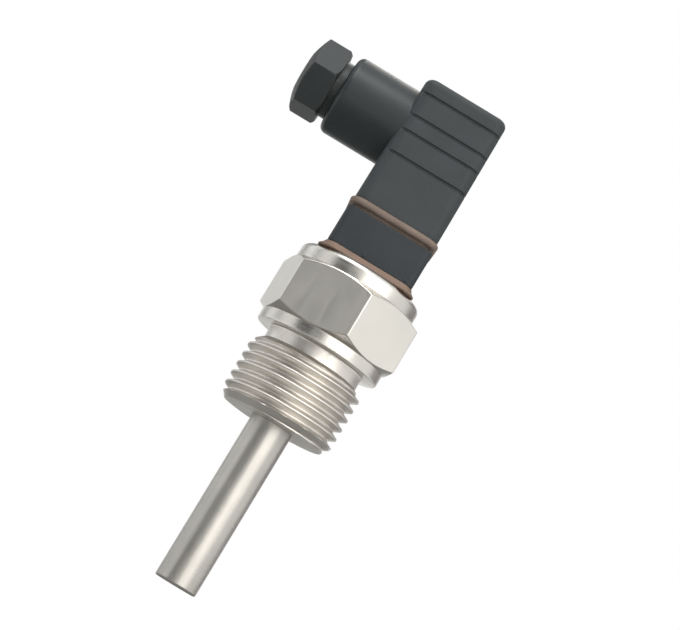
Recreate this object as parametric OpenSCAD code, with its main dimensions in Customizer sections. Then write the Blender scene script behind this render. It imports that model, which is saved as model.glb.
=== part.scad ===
// Screw-in resistance thermometer: a closed protection tube and a turned process fitting in stainless
// steel, with a square four-contact appliance connector and its right-angle cable plug on top.
// +Z runs along the tube towards the plug, the plug's cable outlet points along -X, and the origin
// is the centre of the sealing face under the fitting's lower collar.

/* [Protection tube] */
// Outer diameter of the protection tube
tube_d = 7.6; // [6:0.1:8]
// Wall thickness of the tube
tube_wall = 0.8; // [0.5:0.1:1]
// Insertion length, from the sealing face to the tip
insertion_len = 45; // [40:0.5:120]
// Radius of the tip's edge
tip_round = 0.4; // [0.2:0.1:0.6]

/* [Process fitting] */
// Major diameter of the pipe thread (G 1/2 A)
thread_d = 20.955; // [20.7:0.005:20.955]
// Length of the thread, from the undercut to its end
thread_len = 12; // [9:0.1:16]
// Axial length of the chamfer at the thread's end
thread_chamfer = 1.5; // [1:0.1:2]
// Axial length of the cone that leads from the undercut into the thread
thread_run_in = 1.4; // [1:0.1:2]
// Diameter of the undercut between thread and sealing face
undercut_d = 17.6; // [16:0.1:18.2]
// Length of the undercut
undercut_len = 2.2; // [2.1:0.1:3]
// Diameter of the lower, sealing collar
seal_collar_d = 22.9; // [22.5:0.1:26]
// Height of the lower collar
seal_collar_h = 2; // [1.5:0.1:4]
// Width across the flats of the spanner hexagon
hex_af = 23; // [23:0.5:27]
// Height of the hexagon
hex_h = 10.2; // [8:0.1:12]
// Turn of the hexagon about the axis, as it came to rest when the connector was fitted
hex_turn = 13; // [-30:1:30]
// Diameter of the upper collar
top_collar_d = 22.5; // [22:0.1:23]
// Height of the upper collar
top_collar_h = 2.8; // [2.5:0.1:5]
// Radius of the upper collar's top edge
top_collar_round = 1.2; // [0.5:0.1:1.5]

/* [Connector base] */
// Thickness of the flat seal under the base
base_seal_t = 1.2; // [1:0.1:1.5]
// Width of the square base
base_w = 16.2; // [15.6:0.1:16.4]
// Height of the base block
base_h = 6.9; // [6.5:0.1:9]
// Width of the raised island that carries the pins
island_w = 11.2; // [11:0.1:11.3]
// Height of the island
island_h = 3; // [2.5:0.1:3.2]
// Distance of each contact from the axis
contact_r = 4; // [3.9:0.05:4.1]
// Width of a contact blade
blade_w = 2.8; // [2.6:0.1:2.8]
// Thickness of a contact blade
blade_t = 0.5; // [0.4:0.05:0.5]
// Free length of a blade above the island
blade_free = 6; // [5:0.1:6]

/* [Plug] */
// Thickness of the profile seal between base and plug
profile_seal_t = 1.9; // [1.6:0.1:2.2]
// Width of the profile seal, which stands proud all round
profile_seal_w = 17; // [16.6:0.1:17.2]
// Width of the plug housing at its foot
plug_w = 15.8; // [15.4:0.1:16]
// Draft of each side over the height
plug_draft = 0.15; // [0:0.05:0.3]
// Height of the plug housing
plug_h = 23.9; // [23.5:0.1:26]
// Wall thickness of the housing at its foot
plug_wall = 1.65; // [1.5:0.05:1.7]
// Radius of the housing's upright edges
plug_edge = 2; // [1.5:0.1:2.2]
// Radius of the housing's top edges
plug_top_round = 1.3; // [0.8:0.1:1.6]
// Width of a grip groove
groove_w = 0.55; // [0.4:0.05:0.8]
// Depth of a grip groove
groove_d = 0.35; // [0.2:0.05:0.45]
// Distance of the two inner grooves from the outlet's height
groove_near = 1.45; // [1.2:0.05:2]
// Distance of the two outer grooves from the outlet's height
groove_far = 5.75; // [5:0.05:6]

/* [Cable gland] */
// Height of the outlet's axis above the plug's foot
outlet_z = 15.1; // [14.8:0.1:15.5]
// Outer diameter of the outlet
outlet_d = 14.4; // [13.8:0.1:14.6]
// Distance of the outlet's end from the axis
outlet_reach = 19.4; // [18.8:0.1:20]
// Diameter of the pressure screw's shank
shank_d = 10.5; // [10:0.05:10.6]
// Width across the flats of the pressure screw
gland_af = 12.4; // [12:0.1:13]
// Length of the pressure screw's hexagon
gland_hex_len = 6.2; // [5:0.1:8]
// Gap between outlet and hexagon with no cable clamped
gland_gap = 1.7; // [1:0.1:2]
// Diameter of the cable passage through the pressure screw
cable_hole_d = 7; // [6.4:0.1:7]
// Turn of the pressure screw's hexagon
gland_turn = -25; // [-30:1:30]

/* [Hidden] */
$fn = 96;

eps = 0.01;
running = 0.05;      // radial clearance of a shaft that turns or slides
clear = 0.15;        // gap between flat walls that slide past each other

// levels of the fitting, from the sealing face up
thread_top = -undercut_len;
thread_end = thread_top - thread_len;
thread_root_d = 18.6;
hex_foot = seal_collar_h;
hex_top = hex_foot + hex_h;
hex_corner_r = hex_af / 2 / cos(30);
hex_chamfer_r = top_collar_d / 2;
collar_edge = 0.25;
fitting_top = hex_top + top_collar_h;
tube_stop = 3;       // the tube ends on a shoulder inside the fitting
socket_r = 6;        // bore in the fitting that takes the base's spigot

// measuring insert
tube_bore_r = tube_d / 2 - tube_wall;
tube_seat_r = tube_d / 2 - 0.3;
tip_t = 1.2;
element_r = 1.5;
element_len = 14;
element_foot = tip_t - insertion_len + 0.6;
element_top = element_foot + element_len;
paste_top = element_top + 1.6;
sleeve_r = 2.25;
sleeve_foot = paste_top + 0.4;
sleeve_top = 9;
wire_r = 0.25;
wire_hole_r = 0.45;
wire_pitch_r = 1.2;
splice_r = 0.45;       // crimped splices where a lead leaves the sleeve and meets its pin
splice_in = 0.3;
splice_out = 0.6;
splice_low = sleeve_top + splice_out + 0.2;
potting_foot = tube_stop + 0.05;
potting_top = 8.4;

// levels of the connector base
base_foot = fitting_top + base_seal_t;
base_top = base_foot + base_h;
island_top = base_top + island_h;
base_edge = 1.2;
spigot_r = socket_r - 0.1;
spigot_foot = base_foot - 5.5;
spigot_bore_r = spigot_r - 1;
cavity_top = base_foot + 2;
blade_foot = cavity_top - 1.5;
blade_top = island_top + blade_free;
blade_tip = 0.7;
base_seal_w = 18.2;
bush_r = 2.5;
bush_foot = island_top - 5;
screw_r = 1.25;

// levels of the plug
plug_foot = base_top + profile_seal_t;
plug_top = plug_foot + plug_h;
plug_in = plug_w - 2 * plug_wall;
plug_roof = plug_top - 2;
outlet_h = plug_foot + outlet_z;
head_seat = plug_top - 2.6;
head_recess_r = 2.8;
boss_r = 3.9;
boss_foot = head_seat - 1.3;
screw_hole_r = 1.5;
screw_seal_t = 0.7;
screw_head_r = 2.3;
screw_tip = island_top - 3.6;
drive_w = 0.6;
drive_d = 0.9;

// contact block and terminals
block_w = plug_in - 2 * clear;
block_foot = island_top + 0.3;
block_top = block_foot + 7.6;
block_edge = 1;
block_hole_r = 1.75;
post_w = 3;
post_top = block_top + 3.4;
slot_w = blade_w + 1.1;
slot_t = blade_t + 1.1;
clamp_w = 4;
clamp_d = 3.2;
clamp_top = block_top + 2.8;
clamp_hole_r = 0.9;
clamp_screw_r = 1;
clamp_head_r = 1.7;
clamp_head_h = 1.6;

// cable outlet, measured outwards from the axis
passage_r = 3.5;
seat_x = 9.5;
outlet_bore_r = shank_d / 2 + 0.07;
gland_seal_len = 5;
gland_seal_r = 3;
gland_washer_r = 3.3;
gland_washer_t = 1.2;
washer_x = seat_x + gland_seal_len;
shank_x = washer_x + gland_washer_t;
gland_x = outlet_reach + gland_gap;
gland_end = gland_x + gland_hex_len;
gland_dome_r = 16;
gland_corner_r = gland_af / 2 / cos(30);

steel = [0.78, 0.77, 0.74];
black_plastic = [0.24, 0.26, 0.27];
base_plastic = [0.22, 0.24, 0.26];
seal_rubber = [0.52, 0.44, 0.39];
base_rubber = [0.56, 0.42, 0.35];
brass = [0.80, 0.66, 0.36];
tin = [0.80, 0.80, 0.82];
ceramic = [0.93, 0.92, 0.88];

// square outline with round corners, drawn about the axis
module round_square(w, r) {
    square([w, w - 2 * r], center = true);
    square([w - 2 * r, w], center = true);
    for (x = [-1, 1], y = [-1, 1])
        translate([x * (w / 2 - r), y * (w / 2 - r)]) circle(r);
}

// upright block with round corners, from z0 to z1
module round_block(w, r, z0, z1) {
    translate([0, 0, z0]) linear_extrude(z1 - z0) round_square(w, r);
}

// solid cylinder on the axis, from z0 to z1
module rod(r, z0, z1) {
    translate([0, 0, z0]) cylinder(r = r, h = z1 - z0);
}

// cylinder on the outlet's axis, from x0 to x1 outwards
module outlet_rod(r, x0, x1) {
    translate([-x0, 0, outlet_h]) rotate([0, -90, 0]) cylinder(r = r, h = x1 - x0);
}

// ring on the outlet's axis
module outlet_ring(r_out, r_in, x0, x1) {
    difference() {
        outlet_rod(r_out, x0, x1);
        outlet_rod(r_in, x0 - 1, x1 + 1);
    }
}

// puts a child, drawn at the axis, at the contact that stands in the given direction
module at_contact(turn) {
    rotate(turn) translate([contact_r, 0, 0]) rotate(90) children();
}

// upright bar centred on its own axis
module bar(w, t, z0, z1) {
    translate([-w / 2, -t / 2, z0]) cube([w, t, z1 - z0]);
}

// drawn tube with a closed flat tip; its top end is turned down to a seat in the fitting
module protection_tube() {
    r = tube_d / 2;
    tip = -insertion_len;
    color(steel) difference() {
        union() {
            rod(r, tip + tip_round, thread_end);
            rod(tube_seat_r, tip + tip_round, tube_stop);
            rod(r - tip_round, tip, tip + 1);
            translate([0, 0, tip + tip_round])
                rotate_extrude() translate([r - tip_round, 0]) circle(tip_round);
        }
        rod(tube_bore_r, tip + tip_t, tube_stop + 1);
    }
}

module sensor_element() {
    color(ceramic) rod(element_r, element_foot, element_top);
}

module heat_paste() {
    color([0.85, 0.86, 0.86]) difference() {
        rod(tube_bore_r, tip_t - insertion_len, paste_top);
        rod(element_r, element_foot, element_top);
        for (turn = [90, -90, 0])
            rotate(turn) translate([wire_pitch_r, 0, element_top - eps])
                cylinder(r = wire_r, h = paste_top - element_top + 1);
    }
}

module insulating_sleeve() {
    color(ceramic) difference() {
        rod(sleeve_r, sleeve_foot, sleeve_top);
        for (turn = [90, -90, 0])
            rotate(turn) translate([wire_pitch_r, 0, sleeve_foot - 1])
                cylinder(r = wire_hole_r, h = sleeve_top - sleeve_foot + 2);
    }
}

// a lead runs straight up its bore to a splice, then out to the splice under its pin
module lead_wire(turn) {
    out = contact_r - wire_pitch_r;
    rise = blade_foot - splice_out - splice_low;
    color([0.9, 0.9, 0.88]) rotate(turn) {
        translate([wire_pitch_r, 0, element_top]) cylinder(r = wire_r, h = splice_low - element_top);
        translate([wire_pitch_r, 0, splice_low - splice_out]) cylinder(r = splice_r, h = splice_out + splice_in);
        translate([wire_pitch_r, 0, splice_low]) rotate([0, atan2(out, rise), 0])
            cylinder(r = wire_r, h = norm([out, rise]));
        translate([contact_r, 0, blade_foot - splice_out - splice_in])
            cylinder(r = splice_r, h = splice_out + splice_in);
    }
}

module potting() {
    color([0.2, 0.2, 0.2]) difference() {
        rod(socket_r, potting_foot, potting_top);
        rod(sleeve_r, potting_foot - 1, potting_top + 1);
    }
}

// the fitting's outline, turned about the axis
module fitting_turning() {
    t_r = thread_d / 2;
    rotate_extrude() polygon([
        [0, thread_end],
        [thread_root_d / 2, thread_end],
        [t_r, thread_end + thread_chamfer],
        [t_r, thread_top - thread_run_in],
        [undercut_d / 2, thread_top],
        [undercut_d / 2, 0],
        [seal_collar_d / 2 - collar_edge, 0],
        [seal_collar_d / 2, collar_edge],
        [seal_collar_d / 2, hex_foot],
        [0, hex_foot]
    ]);
}

// spanner hexagon, its corners turned off at both ends
module fitting_hex() {
    drop = (hex_corner_r + 1 - hex_chamfer_r) * tan(30);
    intersection() {
        translate([0, 0, hex_foot]) rotate(30 + hex_turn) cylinder(r = hex_corner_r, h = hex_h, $fn = 6);
        rotate_extrude() polygon([
            [0, hex_foot],
            [hex_chamfer_r, hex_foot],
            [hex_corner_r + 1, hex_foot + drop],
            [hex_corner_r + 1, hex_top - drop],
            [hex_chamfer_r, hex_top],
            [0, hex_top]
        ]);
    }
}

module fitting_collar() {
    r = top_collar_d / 2;
    rod(r, hex_top, fitting_top - top_collar_round);
    rod(r - top_collar_round, hex_top, fitting_top);
    translate([0, 0, fitting_top - top_collar_round])
        rotate_extrude() translate([r - top_collar_round, 0]) circle(top_collar_round);
}

module process_fitting() {
    color(steel) difference() {
        union() {
            fitting_turning();
            fitting_hex();
            fitting_collar();
        }
        rod(tube_seat_r, thread_end - 1, tube_stop + 1);
        rod(socket_r, tube_stop, fitting_top + 1);
    }
}

// flat seal, square on the base and spread to a rounder foot on the collar
module base_seal() {
    foot = base_seal_w / 2;
    top = base_w / 2 + 0.1;
    side = [[-foot, 0], [foot, 0], [top, base_seal_t], [-top, base_seal_t]];
    color(base_rubber) translate([0, 0, fitting_top]) difference() {
        intersection() {
            rotate([90, 0, 0]) linear_extrude(base_seal_w + 1, center = true) polygon(side);
            rotate([90, 0, 90]) linear_extrude(base_seal_w + 1, center = true) polygon(side);
            linear_extrude(base_seal_t) round_square(base_seal_w, 3);
        }
        rod(socket_r, -1, base_seal_t + 1);
    }
}

module connector_base() {
    color(base_plastic) difference() {
        union() {
            round_block(base_w, base_edge, base_foot, base_top);
            round_block(island_w, 1, base_top - 1, island_top);
            rod(spigot_r, spigot_foot, base_foot + 1);
        }
        rod(spigot_bore_r, spigot_foot - 1, cavity_top);
        rod(bush_r, bush_foot, island_top + 1);
        rod(screw_r + 0.25, cavity_top - 1, island_top);
        for (turn = [90, -90, 0, 180])
            at_contact(turn) bar(blade_w, blade_t, cavity_top - 1, island_top + 1);
    }
}

module threaded_bush() {
    color(brass) difference() {
        rod(bush_r, bush_foot, island_top);
        rod(screw_r + running, bush_foot - 1, island_top + 1);
    }
}

// flat blade with a bevelled tip
module pin(turn) {
    color(tin) at_contact(turn) rotate([90, 0, 0]) linear_extrude(blade_t, center = true) polygon([
        [-blade_w / 2, blade_foot],
        [blade_w / 2, blade_foot],
        [blade_w / 2, blade_top - blade_tip],
        [blade_w / 2 - blade_tip, blade_top],
        [blade_tip - blade_w / 2, blade_top],
        [-blade_w / 2, blade_top - blade_tip]
    ]);
}

// seal round the island: a narrower web below, and a bead that stands proud above it
module profile_seal() {
    web_h = 0.5;
    web_w = base_w - 0.7;
    bead_r = 0.3;
    color(seal_rubber) difference() {
        union() {
            round_block(web_w, plug_edge, base_top, plug_foot);
            round_block(profile_seal_w - 2 * bead_r, plug_edge, base_top + web_h, plug_foot);
            round_block(profile_seal_w, plug_edge + bead_r, base_top + web_h + bead_r, plug_foot - bead_r);
        }
        round_block(island_w + 0.2, 1, base_top - 1, plug_foot + 1);
    }
}

module contact_block() {
    color([0.32, 0.34, 0.35]) difference() {
        union() {
            round_block(block_w, block_edge, block_foot, block_top);
            for (x = [-1, 1], y = [-1, 1])
                intersection() {
                    round_block(block_w, block_edge, block_foot, post_top);
                    translate([x * block_w / 2, y * block_w / 2, block_foot + 1])
                        bar(2 * post_w, 2 * post_w, 0, post_top - block_foot - 1);
                }
        }
        rod(block_hole_r, block_foot - 1, block_top + 1);
        for (turn = [90, -90, 0, 180])
            at_contact(turn) bar(slot_w, slot_t, block_foot - 1, block_top + 1);
    }
}

// spring socket for one blade, with its wire clamp on top
module socket(turn) {
    wall = 0.5;
    foot = block_foot + 0.3;
    color(brass) at_contact(turn) difference() {
        union() {
            bar(slot_w - 2 * running, slot_t - 2 * running, foot, block_top);
            bar(clamp_w, clamp_d, block_top, clamp_top);
        }
        bar(slot_w - 2 * wall + 0.2, slot_t - 2 * wall + 0.1, foot - 1, blade_top + 0.4);
        rod(clamp_screw_r + running, block_top + 0.4, clamp_top + 1);
        translate([0, 0, block_top + 1.2]) rotate([0, 90, 0])
            cylinder(r = clamp_hole_r, h = clamp_w + 1, center = true);
    }
}

module terminal_screw(turn) {
    color(tin) at_contact(turn) difference() {
        union() {
            rod(clamp_screw_r, block_top + 1.6, clamp_top + eps);
            rod(clamp_head_r, clamp_top, clamp_top + clamp_head_h);
        }
        bar(2 * clamp_head_r + 1, 0.5, clamp_top + clamp_head_h - 0.7, clamp_top + clamp_head_h + 1);
    }
}

// side outline of the housing: drafted walls under a rounded top
module housing_outline() {
    foot = plug_w / 2;
    top = foot - plug_draft;
    r = plug_top_round;
    polygon([[-foot, plug_foot], [foot, plug_foot], [top, plug_top - r], [-top, plug_top - r]]);
    translate([r - top, plug_top - r - 1]) square([2 * (top - r), r + 1]);
    for (x = [-1, 1]) translate([x * (top - r), plug_top - r]) circle(r);
}

module housing_shell() {
    intersection() {
        round_block(plug_w, plug_edge, plug_foot, plug_top);
        rotate([90, 0, 0]) linear_extrude(plug_w + 1, center = true) housing_outline();
        rotate([90, 0, 90]) linear_extrude(plug_w + 1, center = true) housing_outline();
    }
}

// one groove round three sides of the housing; it stops at the outlet's side
module grip_groove(level) {
    inner = plug_w - plug_draft - 2 * groove_d;
    translate([0, 0, level - groove_w / 2]) difference() {
        translate([1 - plug_w / 2, -plug_w, 0]) cube([2 * plug_w, 2 * plug_w, groove_w]);
        translate([0, 0, -1]) linear_extrude(groove_w + 2) round_square(inner, plug_edge - groove_d);
    }
}

// round outlet with a rounded mouth
module outlet() {
    r = outlet_d / 2;
    mouth = 1.2;
    outlet_rod(r, 3, outlet_reach - mouth);
    outlet_rod(r - mouth, 3, outlet_reach);
    translate([mouth - outlet_reach, 0, outlet_h]) rotate([0, 90, 0])
        rotate_extrude() translate([r - mouth, 0]) circle(mouth);
}

module plug_housing() {
    color(black_plastic) difference() {
        union() {
            difference() {
                union() {
                    difference() {
                        housing_shell();
                        for (step = [-groove_far, -groove_near, groove_near, groove_far])
                            grip_groove(outlet_h + step);
                    }
                    outlet();
                }
                round_block(plug_in, 0.8, plug_foot - 1, plug_roof);
            }
            rod(boss_r, boss_foot, plug_roof + 1);
        }
        rod(head_recess_r, head_seat, plug_top + 1);
        rod(screw_hole_r, boss_foot - 1, plug_top);
        outlet_rod(passage_r, plug_in / 2 - 1, outlet_reach);
        outlet_rod(outlet_bore_r, seat_x, outlet_reach + 1);
    }
}

module screw_seal() {
    color([0.1, 0.1, 0.1]) difference() {
        rod(screw_head_r, head_seat, head_seat + screw_seal_t);
        rod(screw_r + running, head_seat - 1, head_seat + screw_seal_t + 1);
    }
}

module fixing_screw() {
    head_foot = head_seat + screw_seal_t;
    head_top = plug_top - 0.1;
    color(tin) difference() {
        union() {
            rod(screw_r, screw_tip, head_foot + eps);
            rod(screw_head_r, head_foot, head_top);
        }
        bar(2 * screw_head_r + 1, drive_w, head_top - drive_d, head_top + 1);
    }
}

module gland_seal() {
    color(seal_rubber) outlet_ring(outlet_bore_r - 0.2, gland_seal_r, seat_x, washer_x);
}

module gland_washer() {
    color(black_plastic) outlet_ring(outlet_bore_r - 0.2, gland_washer_r, washer_x, shank_x);
}

// hollow pressure screw: shank in the outlet, hexagon with a domed end outside
module gland_screw() {
    r = gland_corner_r;
    back_r = gland_af / 2 + 0.3;
    drop = (r + 1 - back_r) * tan(35);
    color(black_plastic) difference() {
        union() {
            outlet_rod(shank_d / 2, shank_x, gland_x + 1);
            intersection() {
                translate([-gland_x, 0, outlet_h]) rotate([0, -90, 0]) rotate(gland_turn)
                    cylinder(r = r, h = gland_hex_len, $fn = 6);
                translate([gland_dome_r - gland_end, 0, outlet_h]) sphere(gland_dome_r);
                translate([-gland_x, 0, outlet_h]) rotate([0, -90, 0]) rotate_extrude() polygon([
                    [0, 0],
                    [back_r, 0],
                    [r + 1, drop],
                    [r + 1, gland_hex_len],
                    [0, gland_hex_len]
                ]);
            }
        }
        outlet_rod(cable_hole_d / 2, shank_x - 1, gland_end + 1);
    }
}

protection_tube();
sensor_element();
heat_paste();
insulating_sleeve();
lead_wire(90);  // lead_wire_1
lead_wire(-90);  // lead_wire_2
lead_wire(0);  // lead_wire_3
potting();
process_fitting();
base_seal();
connector_base();
threaded_bush();
pin(90);  // pin_1
pin(-90);  // pin_2
pin(0);  // pin_3
pin(180);  // pin_earth
profile_seal();
contact_block();
socket(90);  // socket_1
socket(-90);  // socket_2
socket(0);  // socket_3
socket(180);  // socket_earth
terminal_screw(90);  // terminal_screw_1
terminal_screw(-90);  // terminal_screw_2
terminal_screw(0);  // terminal_screw_3
terminal_screw(180);  // terminal_screw_earth
plug_housing();
screw_seal();
fixing_screw();
gland_seal();
gland_washer();
gland_screw();
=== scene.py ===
import bpy
import bmesh
import math
from mathutils import Matrix, Vector
from types import SimpleNamespace


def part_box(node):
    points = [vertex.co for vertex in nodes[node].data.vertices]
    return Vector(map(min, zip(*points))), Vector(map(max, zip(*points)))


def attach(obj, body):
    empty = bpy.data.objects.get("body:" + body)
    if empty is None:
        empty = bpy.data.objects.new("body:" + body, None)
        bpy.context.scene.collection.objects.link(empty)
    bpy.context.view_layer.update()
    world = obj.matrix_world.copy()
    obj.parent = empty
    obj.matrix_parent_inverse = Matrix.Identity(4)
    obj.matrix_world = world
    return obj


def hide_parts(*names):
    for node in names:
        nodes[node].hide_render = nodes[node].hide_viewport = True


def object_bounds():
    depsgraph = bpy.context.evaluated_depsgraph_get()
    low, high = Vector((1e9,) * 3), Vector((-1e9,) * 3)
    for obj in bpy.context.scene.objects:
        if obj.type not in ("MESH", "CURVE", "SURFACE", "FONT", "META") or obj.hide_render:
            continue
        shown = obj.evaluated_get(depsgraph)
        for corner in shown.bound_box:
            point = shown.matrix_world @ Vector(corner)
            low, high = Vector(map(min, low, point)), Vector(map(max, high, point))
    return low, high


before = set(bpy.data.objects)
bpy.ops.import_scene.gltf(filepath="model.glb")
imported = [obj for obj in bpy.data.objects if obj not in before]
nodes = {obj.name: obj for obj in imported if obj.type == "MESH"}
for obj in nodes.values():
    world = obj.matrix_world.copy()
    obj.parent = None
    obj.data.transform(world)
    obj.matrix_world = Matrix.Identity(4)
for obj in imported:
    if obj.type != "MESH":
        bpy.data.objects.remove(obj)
cadLow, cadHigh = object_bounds()
mm = 0.001
axis = 0.001        # mm, the radius where a turned path meets its axis
meshLimits = {
    "weld": 0.0005,         # mm, closer points become one
    "sliver": 0.0002,
    "solidWeld": 0.0006,    # the same for a solid's own triangles
    "solidFlat": 1.5,       # degrees, flatter edges go
    "bevelFrom": 30,
    "softShare": 0.45,      # the most that a soft corner takes of each side
}
print("frame loaded,", len(nodes), "solids")


# lowest and highest corner of a solid; the helpers work in millimetres
def boxOf(node):
    low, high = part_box(node)
    return low / mm, high / mm


def meshFrom(name, points, faces):
    mesh = bpy.data.meshes.new(name)
    mesh.from_pydata([Vector(p) * mm for p in points], [], faces)
    tidyMesh(mesh)
    return mesh


def tidyMesh(mesh):
    tool = bmesh.new()
    tool.from_mesh(mesh)
    bmesh.ops.remove_doubles(tool, verts=tool.verts, dist=meshLimits["weld"] * mm)
    bmesh.ops.dissolve_degenerate(tool, edges=tool.edges, dist=meshLimits["sliver"] * mm)
    bmesh.ops.recalc_face_normals(tool, faces=tool.faces)
    tool.to_mesh(mesh)
    tool.free()


def joinMeshes(name, meshes):
    tool = bmesh.new()
    for mesh in meshes:
        tool.from_mesh(mesh)
    joined = bpy.data.meshes.new(name)
    tool.to_mesh(joined)
    tool.free()
    return joined


def placed(name, data):
    thing = bpy.data.objects.new(name, data)
    bpy.context.scene.collection.objects.link(thing)
    return thing


# a finished piece that rides on a body and takes its finish from a slot
def addPiece(name, mesh, body, material, sharpAngle=40, bevel=0.0, weighted=True):
    mesh.shade_smooth()
    mesh.set_sharp_from_angle(angle=math.radians(sharpAngle))
    if not mesh.materials:
        mesh.materials.append(material)
    piece = placed(name, mesh)
    if bevel:
        edge = piece.modifiers.new("roundedEdges", "BEVEL")
        edge.width = bevel * mm
        edge.segments = 2
        edge.limit_method = "ANGLE"
        edge.angle_limit = math.radians(meshLimits["bevelFrom"])
        edge.use_clamp_overlap = True
    if weighted:
        even = piece.modifiers.new("evenShading", "WEIGHTED_NORMAL")
        even.keep_sharp = True
    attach(piece, body)
    return piece


# the mesh after the modifiers that the given function adds to a carrier object
def evaluated(mesh, addModifiers):
    carrier = placed("carrier", mesh)
    addModifiers(carrier)
    graph = bpy.context.evaluated_depsgraph_get()
    made = bpy.data.meshes.new_from_object(carrier.evaluated_get(graph), depsgraph=graph)
    carrier.modifiers.clear()
    bpy.data.objects.remove(carrier)
    return made


# the mesh that a node tree makes with these named inputs
def runTree(tree, values, mesh=None):
    def put(carrier):
        modifier = carrier.modifiers.new("shape", "NODES")
        modifier.node_group = tree
        for item in tree.interface.items_tree:
            if item.in_out == "INPUT" and item.name in values:
                modifier[item.identifier] = values[item.name]
    return evaluated(mesh or bpy.data.meshes.new("blank"), put)


# the mesh without what the cutter takes out
def cutAway(mesh, cutter):
    tool = placed("cutter", cutter)

    def put(carrier):
        cut = carrier.modifiers.new("cut", "BOOLEAN")
        cut.operation = "DIFFERENCE"
        cut.solver = "EXACT"
        cut.object = tool
    made = evaluated(mesh, put)
    bpy.data.objects.remove(tool)
    made.materials.clear()
    return made


# quads between rings of equal length, the last ring joined to the first
def ringFaces(rows, columns):
    faces = []
    for i in range(rows):
        for j in range(columns):
            k, n = (j + 1) % columns, (i + 1) % rows
            faces.append((i * columns + j, i * columns + k, n * columns + k, n * columns + j))
    return faces


# distance from the middle to a square outline with round corners, in that direction
def squareReach(angle, half, corner):
    x, y = abs(math.cos(angle)), abs(math.sin(angle))
    straight = half - corner
    if half * y <= straight * x:
        return half / x
    if half * x <= straight * y:
        return half / y
    side = straight * (x + y)
    return side + math.sqrt(max(side * side - 2 * straight * straight + corner * corner, 0))


# directions round the middle, closer together near the four corners
def squareAngles(perSide=16, perCorner=14, cornerSpan=10.0):
    angles = []
    for middle in (45, 135, 225, 315):
        angles += [middle - cornerSpan + 2 * cornerSpan * i / perCorner for i in range(perCorner)]
        angles += [middle + cornerSpan + (90 - 2 * cornerSpan) * i / perSide for i in range(perSide)]
    return [math.radians(a) for a in angles]


def evenAngles(count):
    return [2 * math.pi * i / count for i in range(count)]


# a quarter circle in equal steps
def quarter(steps=6):
    return [math.radians(90 * i / steps) for i in range(steps + 1)]


# the point in that direction, at that radius and height
def around(angle, radius, z):
    return Vector((radius * math.cos(angle), radius * math.sin(angle), z))


# a closed path with rounded corners; softness is the length taken off each side of a corner
def softPath(path, softness, steps=3):
    smooth = []
    for i, point in enumerate(path):
        soft = softness[i]
        if soft <= 0:
            smooth.append(point)
            continue
        before, after = path[i - 1] - point, path[(i + 1) % len(path)] - point
        first = point + before.normalized() * min(soft, before.length * meshLimits["softShare"])
        last = point + after.normalized() * min(soft, after.length * meshLimits["softShare"])
        for k in range(steps):
            t = k / (steps - 1)
            smooth.append(first * (1 - t) ** 2 + point * 2 * t * (1 - t) + last * t * t)
    return smooth


# a ring-shaped solid from one closed path for each direction round the axis
def loft(name, columns, softness, steps=3):
    paths = [softPath(path, softness, steps) for path in columns]
    rows, wide = len(paths[0]), len(paths)
    points = [paths[j][i] for i in range(rows) for j in range(wide)]
    return meshFrom(name, points, ringFaces(rows, wide))


# turned about the upright axis from (radius, height, softness)
def turned(name, profile, count=96, steps=3):
    columns = [[around(a, r, z) for r, z, soft in profile] for a in evenAngles(count)]
    return loft(name, columns, [row[-1] for row in profile], steps)


# as turned, with square sections: (half width, corner radius, height, softness)
def squared(name, profile, angles=None):
    columns = [[around(a, squareReach(a, half, corner), z) for half, corner, z, soft in profile]
               for a in angles or squareAngles()]
    return loft(name, columns, [row[-1] for row in profile])


# a round row among square ones
def roundRow(radius, z, soft=0):
    return radius, radius, z, soft


def boxMesh(name, low, high):
    corners = [(x, y, z) for x in (low[0], high[0]) for y in (low[1], high[1]) for z in (low[2], high[2])]
    faces = [(0, 1, 3, 2), (4, 6, 7, 5), (0, 4, 5, 1), (2, 3, 7, 6), (0, 2, 6, 4), (1, 5, 7, 3)]
    return meshFrom(name, corners, faces)


def rodMesh(name, radius, low, high, count=64):
    points = [around(a, radius, z) for z in (low, high) for a in evenAngles(count)]
    faces = [(i, (i + 1) % count, count + (i + 1) % count, count + i) for i in range(count)]
    return meshFrom(name, points, faces + [tuple(range(count)), tuple(range(count, 2 * count))])


# lays a shape drawn on the upright axis along the cable outlet, its top pointing away from the plug
def outward(mesh, level):
    turn = Matrix(((0, 0, -1, 0), (0, 1, 0, 0), (1, 0, 0, level * mm), (0, 0, 0, 1)))
    mesh.transform(turn)
    return mesh


# a solid's own shape with its loose triangles merged and its edges broken
def refined(name, node, body, material, bevel):
    tool = bmesh.new()
    tool.from_mesh(nodes[node].data)
    bmesh.ops.remove_doubles(tool, verts=tool.verts, dist=meshLimits["solidWeld"] * mm)
    bmesh.ops.dissolve_limit(tool, angle_limit=math.radians(meshLimits["solidFlat"]), verts=tool.verts,
                             edges=tool.edges)
    tool.verts.index_update()
    points = [v.co.copy() for v in tool.verts]
    faces = [[v.index for v in f.verts] for f in tool.faces]
    tool.free()
    mesh = bpy.data.meshes.new(name)
    mesh.from_pydata(points, [], faces)
    piece = addPiece(name, mesh, body, material, sharpAngle=30, bevel=bevel)
    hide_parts(node)


# materials
def newMaterial(name):
    material = bpy.data.materials.new(name)
    material.use_nodes = True
    tree = material.node_tree
    return material, tree, tree.nodes["Principled BSDF"]


# each input is a number or another node's output
def setInputs(tree, node, inputs):
    for key, value in inputs.items():
        if isinstance(value, bpy.types.NodeSocket):
            tree.links.new(value, node.inputs[key])
        else:
            node.inputs[key].default_value = value


# the outputs of a new node
def addNode(tree, kind, inputs, **settings):
    node = tree.nodes.new(kind)
    for name, value in settings.items():
        setattr(node, name, value)
    setInputs(tree, node, inputs)
    return node.outputs


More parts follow.
